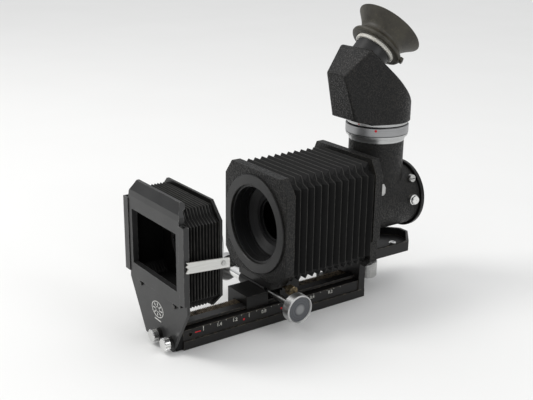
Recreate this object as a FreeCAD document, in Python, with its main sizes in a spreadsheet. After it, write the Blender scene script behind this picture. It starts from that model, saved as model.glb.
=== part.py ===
import FreeCAD, Part
import math
import operator
import os
import types
import Sketcher

# A bellows focusing unit with a reflex finder and a bellows lens hood.
# Millimetres. X across (+X on the operator's left), Y along the bed (the lens end faces -Y), Z up.
# The origin is the mouth of the tripod socket, in the middle of the bed's underside.

SIZES = {
    # bed and track
    "bed_half": 25.35, "bed_front": 83.0, "bed_back": 102.5, "bed_height": 7.5,
    "bed_step": 9.0, "bed_thin": 4.0, "bed_full": 88.0,
    "socket_radius": 3.97, "socket_depth": 6.5,
    "scale_half": 24.2, "scale_top": 16.5, "neck_half": 16.0, "track_low": 17.8,
    "rail_left": 1.2, "groove_low": 11.5, "groove_top": 14.5, "groove_deep": 3.0,
    "track_half": 19.3, "track_top": 20.2, "slot_low": 16.9, "slot_left": 2.6, "slot_right": 11.4,
    "rack_front": 77.0, "rack_back": 93.0, "tooth_module": 0.5, "pinion_teeth": 18,
    "riser_depth": 7.0,
    # tray behind the bed
    "tray_low": 32.7, "tray_floor": 35.0, "tray_top": 42.0, "tray_corner": 154.0, "tray_back": 172.0,
    "tray_tip_half": 5.0, "tray_rim": 2.4, "tray_knob_y": 127.0, "tray_knob_radius": 9.5,
    # front standard and its carriage
    "optic": 81.1, "plate_half": 44.0, "plate_depth": 8.8, "plate_low": 36.0, "plate_top": 128.0,
    "seat_radius": 33.4, "ring_radius": 42.0, "ring_proud": 1.4, "lens_radius": 19.3,
    "carriage_half": 23.5, "carriage_back": 30.0, "carriage_gap": 0.3,
    "saddle_front": 21.0, "saddle_left": 7.5, "saddle_right": 20.6, "saddle_low": 10.3,
    "saddle_top": 28.2, "slot_floor": 17.9, "slot_ceiling": 30.0, "slot_back": 12.5,
    "recess_wall": 31.5, "recess_deep": 13.6, "thread_front": 19.0, "thread_back": 22.0,
    "shaft_y": 6.4, "shaft_z": 24.0, "shaft_radius": 2.8, "journal_radius": 2.2,
    "journal_bore": 2.25, "tube_radius": 5.8, "tube_left": 24.0, "tube_right": 12.0,
    "knob_radius": 12.06, "knob_near": 48.1, "knob_width": 8.6,
    "lock_y": 10.5, "lock_z": 33.4, "lock_radius": 4.2,
    # bellows
    "bellows_half": 41.5, "bellows_low": 37.0, "bellows_top": 127.5, "bellows_wall": 4.6,
    # rear standard and mirror housing
    "rear_front": 93.0, "rear_back": 101.1, "rear_half": 43.3, "rear_top": 131.0, "rear_low": 43.0,
    "rear_foot": 34.0, "rear_step": 58.0,
    "housing_radius": 28.7, "housing_bore": 26.0, "housing_back": 161.0, "finder_y": 130.7,
    "neck_radius": 24.3, "neck_bore": 21.5, "neck_top": 137.2,
    "flange_radius": 31.1, "flange_back": 164.8, "thread_radius": 19.5, "thread_length": 4.0,
    "mirror_y": 155.0, "mirror_z": 101.0, "mirror_half": 13.0, "mirror_length": 44.0,
    "button_y": 151.5, "button_z": 83.6,
    # finder
    "ring_low": 143.6, "ring_high": 151.4, "finder_ring_radius": 27.7, "head_low": 154.9,
    "head_radius": 28.7, "head_face_half": 12.0, "head_face_y": 80.8, "head_face_z": 198.0,
    "head_foot_y": 92.0, "head_foot_z": 157.0, "roof_y": 103.0, "roof_z": 220.0,
    "knee_y": 149.5, "knee_z": 173.2, "shoulder_z": 164.0,
    "eye_y": 122.2, "eye_z": 215.5, "eye_tilt": 45.0, "eye_tube": 15.8, "eye_bore": 13.6,
    # lens hood
    "hood_front": 93.8, "hood_back": 89.0, "hood_half": 39.6, "window_half": 35.0,
    "window_low": 56.6, "window_top": 102.4, "guide_half": 47.4, "guide_front": 94.6,
    "bracket_low_half": 22.0, "bracket_half": 46.0, "bracket_gap": 0.3,
    "screw_z": 8.0, "screw_a": 2.0, "screw_b": 20.5,
    "hood_rear_front": 62.6, "hood_rear_back": 60.0, "hood_rear_half": 46.0,
    "hood_ring_radius": 28.0, "hood_z": 79.9,
}

ARITHMETIC = {"+": operator.add, "-": operator.sub, "*": operator.mul, "/": operator.truediv}
PLANE_ROLES = {"X": "YZ_Plane", "Y": "XZ_Plane", "Z": "XY_Plane"}


class Size:
    """A number together with the spreadsheet expression that gives it."""

    def __init__(self, value, text=None):
        self.value = float(value)
        self.text = text or repr(float(value))

    def joined(self, other, sign, swapped=False):
        left, right = (as_size(other), self) if swapped else (self, as_size(other))
        value = ARITHMETIC[sign](left.value, right.value)
        return Size(value, "(%s %s %s)" % (left.text, sign, right.text))

    def __add__(self, other):
        return self.joined(other, "+")

    def __radd__(self, other):
        return self.joined(other, "+", True)

    def __sub__(self, other):
        return self.joined(other, "-")

    def __rsub__(self, other):
        return self.joined(other, "-", True)

    def __mul__(self, other):
        return self.joined(other, "*")

    def __rmul__(self, other):
        return self.joined(other, "*", True)

    def __truediv__(self, other):
        return self.joined(other, "/")

    def __neg__(self):
        return self.joined(-1, "*")


def as_size(value):
    return value if isinstance(value, Size) else Size(value)


doc = FreeCAD.newDocument("focusing_bellows")
sheet = doc.addObject("Spreadsheet::Sheet", "sizes")
for row, (alias, number) in enumerate(SIZES.items(), 1):
    sheet.set("A%d" % row, alias)
    sheet.set("B%d" % row, str(number))
    sheet.setAlias("B%d" % row, alias)
doc.recompute()
d = types.SimpleNamespace(**{name: Size(number, "sizes." + name) for name, number in SIZES.items()})
nodes = []


# ---- features ------------------------------------------------------------------------------

def bind(thing, prop, value):
    """Give a property a number and tie it to the sheet."""
    setattr(thing, prop, as_size(value).value)
    thing.setExpression(prop, as_size(value).text)


def vector(x, y, z):
    return FreeCAD.Vector(*(as_size(part).value for part in (x, y, z)))


def new_body(label, at=(0, 0, 0), turn=None, keep=True):
    """A body with its own place; turn is an axis and an angle, and keep makes it a piece."""
    body = doc.addObject("PartDesign::Body", label)
    body.Label = label
    axis, angle = turn or ((0, 0, 1), 0)
    body.Placement = FreeCAD.Placement(vector(*at), FreeCAD.Rotation(vector(*axis), as_size(angle).value))
    for letter, value in zip("xyz", at):
        body.setExpression("Placement.Base." + letter, as_size(value).text)
    if turn:
        body.setExpression("Placement.Rotation.Angle", as_size(angle).text)
    if keep:
        nodes.append(body)
    return body


def new_sketch(body, axis, at=(0, 0, 0), tilt=None):
    """A sketch on the body's own plane across an axis, moved to a point and leant about -X."""
    plane = [item for item in body.Origin.OriginFeatures if item.Role == PLANE_ROLES[axis]][0]
    sketch = body.newObject("Sketcher::SketchObject", body.Label + "_sketch")
    sketch.AttachmentSupport = [(plane, "")]
    sketch.MapMode = "FlatFace"
    x, y, z = (as_size(value) for value in at)
    local = {"X": (y, z, x), "Y": (x, z, -y), "Z": (x, y, z)}[axis]
    lean = FreeCAD.Rotation(vector(-1, 0, 0), tilt.value) if tilt else FreeCAD.Rotation()
    sketch.AttachmentOffset = FreeCAD.Placement(vector(*local), lean)
    for letter, value in zip("xyz", local):
        sketch.setExpression("AttachmentOffset.Base." + letter, value.text)
    if tilt:
        sketch.setExpression("AttachmentOffset.Rotation.Angle", tilt.text)
    return sketch


def pin(sketch, item, end, x, y):
    """Hold one point of the sketch at its distances from the sketch's origin."""
    for kind, line, value in (("DistanceX", -2, as_size(x)), ("DistanceY", -1, as_size(y))):
        if abs(value.value) < 1e-9:
            sketch.addConstraint(Sketcher.Constraint("PointOnObject", item, end, line))
        else:
            rule = Sketcher.Constraint(kind, -1, 1, item, end, value.value)
            number = sketch.addConstraint(rule)
            sketch.setExpression("Constraints[%d]" % number, value.text)


def draw_circle(sketch, radius, x=0, y=0):
    circle = Part.Circle(vector(x, y, 0), vector(0, 0, 1), as_size(radius).value)
    item = sketch.addGeometry(circle, False)
    number = sketch.addConstraint(Sketcher.Constraint("Radius", item, as_size(radius).value))
    sketch.setExpression("Constraints[%d]" % number, as_size(radius).text)
    pin(sketch, item, 3, x, y)


def draw_polygon(sketch, points):
    corners = [vector(x, y, 0) for x, y in points]
    first = sketch.GeometryCount
    for index, corner in enumerate(corners):
        following = corners[(index + 1) % len(corners)]
        sketch.addGeometry(Part.LineSegment(corner, following), False)
    for index, (x, y) in enumerate(points):
        following = first + (index + 1) % len(points)
        sketch.addConstraint(Sketcher.Constraint("Coincident", first + index, 2, following, 1))
        pin(sketch, first + index, 1, x, y)


def draw(sketch, outlines):
    """Outlines are lists of corners, or (radius, x, y) for a circle."""
    for outline in outlines:
        if isinstance(outline, list):
            draw_polygon(sketch, outline)
        else:
            draw_circle(sketch, *outline)


def pad(body, axis, outlines, start, length):
    """Add a prism that runs from start, along +axis."""
    place = {"X": (start, 0, 0), "Y": (0, start, 0), "Z": (0, 0, start)}[axis]
    sketch = new_sketch(body, axis, place)
    draw(sketch, outlines)
    made = body.newObject("PartDesign::Pad", body.Label + "_pad")
    made.Profile = sketch
    bind(made, "Length", length)
    made.Reversed = axis == "Y"
    return made


def pocket(body, axis, outlines, start, length):
    """Cut a prism that runs from start, along +axis, and check that it removed something."""
    place = {"X": (start, 0, 0), "Y": (0, start, 0), "Z": (0, 0, start)}[axis]
    doc.recompute()
    before = body.Shape.Volume
    sketch = new_sketch(body, axis, place)
    draw(sketch, outlines)
    made = body.newObject("PartDesign::Pocket", body.Label + "_pocket")
    made.Profile = sketch
    bind(made, "Length", length)
    made.Reversed = axis != "Y"
    doc.recompute()
    assert body.Shape.Volume < before - 1e-3, "a pocket of %s cuts nothing" % body.Label
    return made


def turned(body, axis, profile, at=(0, 0, 0), cut=False):
    """Revolve (along, radius) points about a line parallel to an axis, to add or to cut."""
    across = "X" if axis == "Y" else "Y"
    if cut:
        doc.recompute()
        before = body.Shape.Volume
    sketch = new_sketch(body, across, at)
    draw_polygon(sketch, [(r, a) for a, r in profile] if axis == "Z" else profile)
    kind = "PartDesign::Groove" if cut else "PartDesign::Revolution"
    made = body.newObject(kind, body.Label + "_turn")
    made.Profile = sketch
    made.ReferenceAxis = (sketch, ["V_Axis" if axis == "Z" else "H_Axis"])
    made.Angle = 360
    if cut:
        doc.recompute()
        assert body.Shape.Volume < before - 1e-3, "a groove of %s cuts nothing" % body.Label
    return made


def around(body, features, axis_name, count):
    """Repeat features about one of the body's own axes."""
    made = body.newObject("PartDesign::PolarPattern", body.Label + "_pattern")
    line = [item for item in body.Origin.OriginFeatures if item.Role == axis_name][0]
    made.Originals = features
    made.Axis = (line, [""])
    made.Angle = 360
    made.Occurrences = count
    body.Tip = made
    return made


def flutes(body, axis, radius, wide, deep, start, length, count):
    """Cut a ring of small V grooves along a knob's rim; the knob turns about its own axis."""
    points = [(-wide, radius + 0.3), (wide, radius + 0.3), (0, radius - deep)]
    groove = pocket(body, axis, [points], start, length)
    around(body, [groove], axis + "_Axis", count)


def soften(body, radius, chosen, kind="PartDesign::Fillet"):
    """Round the edges of the tip that the test chooses."""
    doc.recompute()
    tip = body.Tip
    names = ["Edge%d" % (n + 1) for n, edge in enumerate(tip.Shape.Edges) if chosen(edge)]
    made = body.newObject(kind, body.Label + "_soft")
    made.Base = (tip, names)
    bind(made, "Radius" if kind.endswith("Fillet") else "Size", radius)
    return made


def rectangle(x_low, x_high, y_low, y_high):
    return [(x_low, y_low), (x_high, y_low), (x_high, y_high), (x_low, y_high)]


def chamfered(half, low, high, cut_low, cut_high):
    """A rectangle about x = 0 with its corners cut; each cut is (across, up)."""
    return [
        (-half + cut_low[0], low), (half - cut_low[0], low), (half, low + cut_low[1]),
        (half, high - cut_high[1]), (half - cut_high[0], high), (-half + cut_high[0], high),
        (-half, high - cut_high[1]), (-half, low + cut_low[1]),
    ]


def plain_turned(label, axis, profile, at):
    body = new_body(label, at)
    turned(body, axis, profile)
    return body


def screw_head(label, axis, at, radius, height, slot=0.7):
    """A cheese head with a slot, its outer face towards +axis; a negative height faces -axis."""
    body = new_body(label, at)
    rim = height * 0.8
    turned(body, axis, [(0, 0), (0, radius), (rim, radius), (height, radius - 0.5), (height, 0)])
    if as_size(height).value > 0:
        low, deep = height * 0.55, height * 0.6
    else:
        low, deep = height * 1.15, -height * 0.6
    if axis == "X":
        pocket(body, axis, [rectangle(-radius - 1, radius + 1, -slot / 2, slot / 2)], low, deep)
    else:
        pocket(body, axis, [rectangle(-slot / 2, slot / 2, -radius - 1, radius + 1)], low, deep)
    return body


# ---- bed, track, rack and tray ----------------------------------------------------------------

def make_bed():
    body = new_body("bed")
    pad(body, "Z", [rectangle(-d.bed_half, d.bed_half, -d.bed_front, d.bed_back)], 0, d.bed_height)
    pocket(body, "Z", [(d.socket_radius, 0, 0)], 0, d.socket_depth)
    # One side is only a thin sole, so that the carriage can reach down beside the rail.
    sole = rectangle(-d.bed_half, -d.bed_step, -d.bed_front, d.bed_full)
    pocket(body, "Z", [sole], d.bed_thin, d.bed_height - d.bed_thin)
    soften(body, 0.5, lambda edge: edge.BoundBox.YLength > 150 and edge.BoundBox.ZMax < 1)


def make_track():
    """The rail lies to one side: a scale face, a flange over a groove, and a grooved far wall."""
    body = new_body("track")
    left, inside = d.rail_left, d.rail_left + d.groove_deep
    outline = [
        (left, d.bed_height), (d.scale_half, d.bed_height), (d.scale_half, d.scale_top),
        (d.neck_half, d.scale_top), (d.neck_half, d.track_low), (d.track_half, d.track_low),
        (d.track_half, d.track_top), (d.slot_right, d.track_top), (d.slot_right, d.slot_low),
        (d.slot_left, d.slot_low), (d.slot_left, d.track_low), (left, d.track_low),
        (left, d.groove_top), (inside, d.groove_top), (inside, d.groove_low), (left, d.groove_low),
    ]
    back = d.bed_back - d.riser_depth
    pad(body, "Y", [outline], -d.bed_front, back + d.bed_front)
    pocket(body, "X", [(1.6, -d.bed_front + 6.5, 12)], d.scale_half - 2, 2)


def make_rack():
    """A toothed bar in the track's slot; its pitch line is one pitch radius below the shaft."""
    body = new_body("rack")
    pitch = d.shaft_z - d.tooth_module * d.pinion_teeth / 2
    tip = pitch + d.tooth_module
    root = pitch - 1.25 * d.tooth_module
    step = math.pi * d.tooth_module.value
    pad(body, "X", [rectangle(-d.rack_front, d.rack_back, d.slot_low, tip)],
        d.slot_left, d.slot_right - d.slot_left)
    slope = math.tan(math.radians(20))
    root_half = step / 4 - 1.25 * d.tooth_module.value * slope + 0.03
    tip_half = step / 4 + 1.0 * d.tooth_module.value * slope + 0.03
    # The first gap lies a whole number of steps ahead of the shaft's gap, a little inside the bar.
    steps = int((d.rack_front.value + d.shaft_y.value) / step) - 1
    first = d.shaft_y - steps * step
    count = int((d.rack_back.value + d.rack_front.value) / step) - 3
    gap = [(first - root_half, root), (first + root_half, root),
           (first + tip_half, tip), (first - tip_half, tip)]
    cut = pocket(body, "X", [gap], d.slot_left, d.slot_right - d.slot_left)
    row = body.newObject("PartDesign::LinearPattern", "rack_row")
    line = [item for item in body.Origin.OriginFeatures if item.Role == "Y_Axis"][0]
    row.Originals = [cut]
    row.Direction = (line, [""])
    row.Length = step * (count - 1)
    row.Occurrences = count
    body.Tip = row


def make_riser():
    body = new_body("riser")
    front = d.bed_back - d.riser_depth
    pad(body, "Y", [rectangle(-d.bed_half, d.bed_half, d.bed_height, d.tray_low)], front, d.riser_depth)
    soften(body, 0.6, lambda edge: edge.BoundBox.ZLength > 20)


def make_tray():
    body = new_body("tray")
    front = d.bed_back - d.riser_depth
    half, rim = d.bed_half, d.tray_rim
    outer = [(-half, front), (half, front), (half, d.tray_corner), (d.tray_tip_half, d.tray_back),
             (-d.tray_tip_half, d.tray_back), (-half, d.tray_corner)]
    pad(body, "Z", [outer], d.tray_low, d.tray_top - d.tray_low)
    inner = [(rim - half, front + rim), (half - rim, front + rim), (half - rim, d.tray_corner - rim / 2),
             (d.tray_tip_half, d.tray_back - rim), (-d.tray_tip_half, d.tray_back - rim),
             (rim - half, d.tray_corner - rim / 2)]
    pocket(body, "Z", [inner], d.tray_floor, d.tray_top - d.tray_floor)
    pocket(body, "Z", [(3.05, 0, d.tray_knob_y)], d.tray_low, d.tray_floor - d.tray_low)
    soften(body, 1.6, lambda edge: edge.BoundBox.ZLength > 9 and edge.BoundBox.YMin > 120)
    # The rear standard and its block reach down into the front of the tray.
    pocket(body, "Z", [rectangle(-14.2, 14.2, front - 1, front + rim + 0.1)], d.tray_floor, 8)


def make_pedestal():
    """The block that carries the rear standard and the mirror housing, hollowed to the barrel."""
    body = new_body("pedestal")
    front, start = d.bed_back - d.riser_depth, d.rear_back
    pad(body, "Z", [rectangle(-14, 14, start, start + 18)], d.tray_floor, 24)
    pad(body, "Z", [rectangle(-14, 14, front, start)], d.tray_floor, d.rear_low - d.tray_floor)
    r, hollow_back = d.housing_radius, start + 22
    barrel = [(start - 0.01, 0), (start - 0.01, r), (hollow_back, r), (hollow_back, 0)]
    turned(body, "Y", barrel, (0, 0, d.optic), cut=True)


def make_tray_screw():
    screw_head("tray_screw", "Z", (9.5, 149.0, d.tray_floor), 3.4, 2.2, 0.8)


def make_tray_knob():
    """A knurled clamping knob that hangs under the tray on its own screw."""
    at = (0, d.tray_knob_y, 0)
    plain_turned("tray_knob_collar", "Z", [(22.3, 3.1), (22.3, 7.6), (23, 8.2), (32.7, 8.2), (32.7, 3.1)], at)
    body = new_body("tray_knob", at)
    r = d.tray_knob_radius
    turned(body, "Z", [(6, 0), (6, r - 1), (7, r), (20.6, r), (21.6, r - 1), (21.6, 3.0),
                       (37.2, 3.0), (37.2, 0)])
    flutes(body, "Z", r, 0.35, 0.35, 5.0, 17.5, 44)


# ---- front standard, carriage and focusing drive ------------------------------------------------

def make_front_standard():
    body = new_body("front_standard")
    outline = chamfered(d.plate_half, d.plate_low, d.plate_top, (11, 12.5), (9.5, 12.4))
    pad(body, "Y", [outline, (d.seat_radius, 0, d.optic)], 0, d.plate_depth)
    soften(body, 0.7, lambda edge: edge.BoundBox.YLength < 0.01 and edge.BoundBox.YMax < 0.01
           and len(edge.Vertexes) == 2)


def make_lens_ring():
    proud, seat = d.ring_proud, d.seat_radius
    outer = d.ring_radius
    plain_turned("lens_ring", "Y", [(0, seat), (0, outer), (-proud + 0.4, outer), (-proud, outer - 0.6),
                                    (-proud, seat + 0.5), (-proud + 0.5, seat)], (0, 0, d.optic))


def make_lens_funnel():
    """A deep cylindrical recess that narrows in a cone to the lens thread."""
    seat, depth = d.seat_radius, d.plate_depth
    wall, deep = d.recess_wall, d.recess_deep
    front, back = d.thread_front, d.thread_back
    lens = d.lens_radius
    ring = lens + 2.3
    recess = [(0.6, wall), (6.5, wall), (6.5, wall - 0.5), (deep, wall - 0.5), (deep, wall - 2.1),
              (deep + 1, wall - 2.1), (front, ring + 1), (front, ring)]
    outer = [(back, ring), (back, ring + 1.6), (deep + 2.4, wall - 0.2), (deep + 1, wall + 0.8),
             (depth, wall + 0.8), (depth, seat), (0.6, seat)]
    plain_turned("lens_funnel", "Y", recess + outer, (0, 0, d.optic))
    plain_turned("lens_thread", "Y", [(front, lens), (front, ring), (back, ring), (back, lens - 1.7),
                                      (back - 0.8, lens - 1.7), (back - 0.8, lens)], (0, 0, d.optic))


def make_carriage():
    """The saddle hooks under the rail's flange and into its far groove, with a running gap."""
    body = new_body("carriage")
    half, gap = d.carriage_half, d.carriage_gap
    hook, top = d.scale_top + 0.4, d.track_top + gap
    far = d.rail_left - gap
    tongue = d.rail_left + d.groove_deep - gap
    outline = [
        (-d.saddle_left, d.saddle_low), (far, d.saddle_low), (far, d.groove_low + gap),
        (tongue, d.groove_low + gap), (tongue, d.groove_top - gap), (far, d.groove_top - gap),
        (far, top), (d.track_half + gap, top), (d.track_half + gap, d.track_low - gap),
        (d.neck_half + 0.4, d.track_low - gap), (d.neck_half + 0.4, hook), (d.saddle_right, hook),
        (d.saddle_right, d.saddle_top), (-d.saddle_left, d.saddle_top),
    ]
    front = d.saddle_front
    pad(body, "Y", [outline], -front, front + d.carriage_back)
    foot = rectangle(-half, half, d.saddle_top - 1.2, d.plate_low)
    pad(body, "Y", [foot], 0.8, d.carriage_back - 0.8)
    slot = rectangle(0, d.slot_back, d.slot_floor, d.slot_ceiling)
    pocket(body, "X", [slot], -half - 1, half * 2 + 2)
    pocket(body, "X", [(1.65, d.lock_y, d.lock_z)], 12, half)


def make_bearing_tube():
    body = new_body("bearing_tube")
    y, z, r = d.shaft_y, d.shaft_z, d.tube_radius
    length = d.tube_left + d.tube_right
    pad(body, "X", [(r, y, z)], -d.tube_left, length)
    web = rectangle(y, d.slot_back, z - 3.4, z + r)
    pad(body, "X", [web], -d.saddle_left, d.saddle_left + d.tube_right)
    pocket(body, "X", [(d.journal_bore, y, z)], -d.tube_left, length)
    pocket(body, "X", [(d.tooth_module * (d.pinion_teeth / 2 + 1) + 0.3, y, z)], 2.6, 8.8)
    bottom = rectangle(-5, 14, z - 10, d.track_top + 0.4)
    pocket(body, "X", [bottom], -d.saddle_left - 0.5, length)


def make_drive():
    at = (0, d.shaft_y, d.shaft_z)
    left, right = -d.tube_left, d.tube_right
    thin, thick = d.journal_radius, d.shaft_radius
    plain_turned("pinion_shaft", "X", [(left - 0.4, 0), (left - 0.4, thin), (right + 0.3, thin),
                                       (right + 0.3, thick), (d.knob_near, thick), (d.knob_near, 0)], at)
    plain_turned("far_hub", "X", [(-d.knob_near, 0), (-d.knob_near, 4.6), (left - 0.9, 4.6),
                                  (left - 0.4, 4.1), (left - 0.4, 0)], at)
    r, wide = d.knob_radius, d.knob_width
    for label, side in (("near_knob", 1), ("far_knob", -1)):
        start = d.knob_near * side
        rim = [(0, 0), (0, r - 1.2), (0.8, r), (wide - 0.6, r), (wide, r - 0.5), (wide, r - 1.1),
               (wide - 1.2, r - 1.7), (wide - 1.2, 0)]
        plain_turned(label, "X", [(start + along * side, radius) for along, radius in rim], at)
        dish = [(wide - 1.2, 0), (wide - 1.2, r - 1.75), (wide - 1.0, r - 1.75), (wide - 0.6, 5.5),
                (wide - 0.3, 4.4), (wide - 0.3, 0)]
        plain_turned(label + "_disc", "X", [(start + along * side, radius) for along, radius in dish], at)


def make_pinion():
    """Straight-flanked teeth, thinned a little so that they roll freely in the rack."""
    body = new_body("pinion", (d.slot_left + 0.4, d.shaft_y, d.shaft_z))
    module, teeth = d.tooth_module, d.pinion_teeth
    pitch = module * teeth / 2
    width = d.slot_right - d.slot_left - 0.8
    pad(body, "X", [(pitch - 1.25 * module, 0, 0), (d.journal_radius, 0, 0)], 0, width)
    root, tip = pitch - 1.35 * module, pitch + 0.9 * module
    mid_half = math.pi * module.value / 4 - 0.07
    # A tooth points straight down, into the rack's gap below the shaft.
    tooth = pad(body, "X", [[(-mid_half - 0.12, -root), (-mid_half, -pitch), (-mid_half * 0.5, -tip),
                             (mid_half * 0.5, -tip), (mid_half, -pitch), (mid_half + 0.12, -root)]], 0, width)
    around(body, [tooth], "X_Axis", int(teeth.value))


def make_lock_screw():
    """The carriage's lock, a knurled head on a thin spindle."""
    body = new_body("lock_screw", (0, d.lock_y, d.lock_z))
    r = d.lock_radius
    turned(body, "X", [(15, 0), (15, 1.6), (35.5, 1.6), (35.5, r - 0.5), (36, r), (42, r), (42.5, r - 0.5),
                       (42.5, 0)])
    flutes(body, "X", r, 0.3, 0.35, 35, 8, 24)


# ---- bellows ----------------------------------------------------------------------------------

def make_bellows(label, half, low, high, wall, start, length, corner):
    body = new_body(label)
    outer = chamfered(half, low, high, (corner, corner), (corner, corner))
    inner = chamfered(half - wall, low + wall, high - wall, (corner * 0.7, corner * 0.7),
                      (corner * 0.7, corner * 0.7))
    pad(body, "Y", [outer, inner], start, length)


# ---- rear standard and mirror housing ---------------------------------------------------------

def make_rear_standard():
    body = new_body("rear_standard")
    half, low, high = d.rear_half, d.rear_low, d.rear_top
    foot, shoulder = d.rear_foot, d.rear_step
    step, leg = half - 2.3, d.bed_half + 0.3
    outline = [(-step, foot + 6), (-step + 6, foot), (-leg, foot), (-leg, low), (leg, low), (leg, foot),
               (step - 6, foot), (step, foot + 6), (step, shoulder), (half, shoulder + 2.2),
               (half, high - 12.6), (half - 6.3, high), (-half + 6.3, high), (-half, high - 12.6),
               (-half, shoulder + 2.2), (-step, shoulder)]
    pad(body, "Y", [outline, (d.housing_bore, 0, d.optic)], d.rear_front, d.rear_back - d.rear_front)
    soften(body, 0.7, lambda edge: edge.BoundBox.YLength < 0.01 and edge.BoundBox.YMin > 100
           and len(edge.Vertexes) == 2)


def make_housing():
    """A barrel along the light path with a neck standing on it for the finder."""
    body = new_body("mirror_housing")
    start, end = d.rear_back, d.housing_back
    r, bore = d.housing_radius, d.housing_bore
    centre = (0, 0, d.optic)
    turned(body, "Y", [(start, 0), (start, r), (end - 0.5, r), (end, r - 0.5), (end, 0)], centre)
    pad(body, "Z", [(d.neck_radius, 0, d.finder_y)], d.optic, d.neck_top - d.optic)
    soften(body, 1.5, lambda edge: edge.BoundBox.ZLength > 3 and edge.BoundBox.XLength > 20
           and edge.BoundBox.YLength > 20)
    turned(body, "Y", [(start, 0), (start, bore), (end, bore), (end, 0)], centre, cut=True)
    pocket(body, "Z", [(d.neck_bore, 0, d.finder_y)], d.optic, d.neck_top - d.optic)
    pocket(body, "X", [(4.75, d.button_y, d.button_z)], 18, 12)
    pocket(body, "X", [(1.56, d.mirror_y, d.mirror_z)], -24, 50)
    pocket(body, "X", [(3.8, d.mirror_y, d.mirror_z)], 20.7, 8)


def make_rear_mount():
    """The rear flange and the threaded stub that screws into a camera."""
    start, back, thread = d.housing_back, d.flange_back, d.thread_radius
    r, end = d.flange_radius, d.flange_back + d.thread_length
    plain_turned("camera_flange", "Y", [(start, thread - 3), (start, r - 0.4), (start + 0.5, r),
                                        (back - 0.6, r), (back, r - 0.6), (back, thread),
                                        (end - 0.5, thread), (end, thread - 0.5), (end, thread - 3)],
                 (0, 0, d.optic))


def make_mirror():
    """The reflex mirror hangs from an axle near the top of the barrel, leaning down and forwards."""
    at = (0, d.mirror_y, d.mirror_z)
    frame = new_body("mirror_frame", at, ((1, 0, 0), 45))
    turned(frame, "X", [(-18.6, 0), (-18.6, 1.5), (20.9, 1.5), (20.9, 0)])
    pad(frame, "X", [rectangle(-d.mirror_length, -1.0, -0.9, 0)], -d.mirror_half, d.mirror_half * 2)
    glass = new_body("mirror_glass", at, ((1, 0, 0), 45))
    face = rectangle(1.5 - d.mirror_length, -3.0, 0, 1.0)
    pad(glass, "X", [face], 1 - d.mirror_half, d.mirror_half * 2 - 2)
    screw_head("mirror_axle_head", "X", (20.9, d.mirror_y, d.mirror_z), 3.5, 3.8, 0.8)


def make_button():
    at = (0, d.button_y, d.button_z)
    plain_turned("button_collar", "X", [(25.7, 4.0), (25.7, 4.7), (31, 4.7), (31.4, 4.3), (31.4, 4.0)], at)
    plain_turned("release_button", "X", [(29.2, 0), (29.2, 3.95), (33.2, 3.95), (33.9, 3.3), (34.1, 0)], at)


def make_catch():
    """A small polished catch that stands behind the rear standard's edge."""
    body = new_body("housing_catch")
    pad(body, "Y", [[(34, 98), (41, 98.6), (42.6, 101), (42.6, 106), (40.4, 108.6), (34, 106)]],
        d.rear_back, 4.4)
    soften(body, 0.6, lambda edge: edge.BoundBox.YLength < 0.01 and edge.BoundBox.YMin > 102)


# ---- finder -----------------------------------------------------------------------------------

def make_finder_rings():
    at = (0, d.finder_y, 0)
    low, high, r = d.ring_low, d.ring_high, d.finder_ring_radius
    neck, bore = d.neck_top, d.neck_bore
    plain_turned("finder_seat", "Z", [(neck, bore), (neck, 24.5), (neck + 3.4, 25.2), (low - 2.2, r - 0.6),
                                      (low - 0.2, r - 0.2), (low - 0.2, 23.0), (high + 0.3, 23.0),
                                      (high + 0.3, bore)], at)
    plain_turned("lock_ring", "Z", [(low, 23.06), (low, r - 0.5), (low + 0.5, r), (high - 0.6, r),
                                    (high, r - 0.6), (high, 23.06)], at)
    end = d.head_low
    plain_turned("finder_ring", "Z", [(high + 0.5, bore), (high + 0.5, r - 1.4), (high + 1, r - 1),
                                      (end - 0.5, r - 1), (end, r - 1.5), (end, bore)], at)
    plain_turned("focusing_screen", "Z", [(140, 0), (140, bore), (142, bore), (142, 0)], at)


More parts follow.
